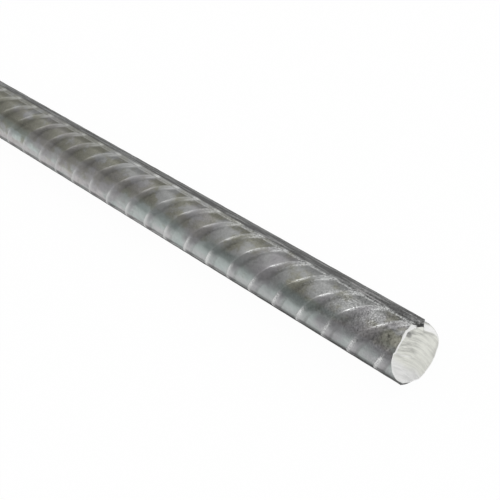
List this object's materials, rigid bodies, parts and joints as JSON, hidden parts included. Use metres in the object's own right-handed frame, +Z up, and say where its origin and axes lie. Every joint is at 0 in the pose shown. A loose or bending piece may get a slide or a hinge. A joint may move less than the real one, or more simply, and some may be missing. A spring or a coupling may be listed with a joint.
{
  "type": "reinforcing bar",
  "caption": "Straight ribbed steel bar for reinforcing concrete: a round core with long ribs and slanting cross ribs, cut square at its ends.",
  "frame": {"origin": "on the floor, under the middle of the bar", "axes": "+X along the bar, towards the cut end that the picture shows; +Z up; the upper long rib leans towards +Y"},
  "size_m": [0.61, 0.0122, 0.0123],
  "materials": {
    "steel": "dull grey mill scale, worn bright on the crests of the ribs, with bare bright steel on the cut ends"
  },
  "bodies": {
    "root": {"rebar": "steel"}
  },
  "joints": []
}
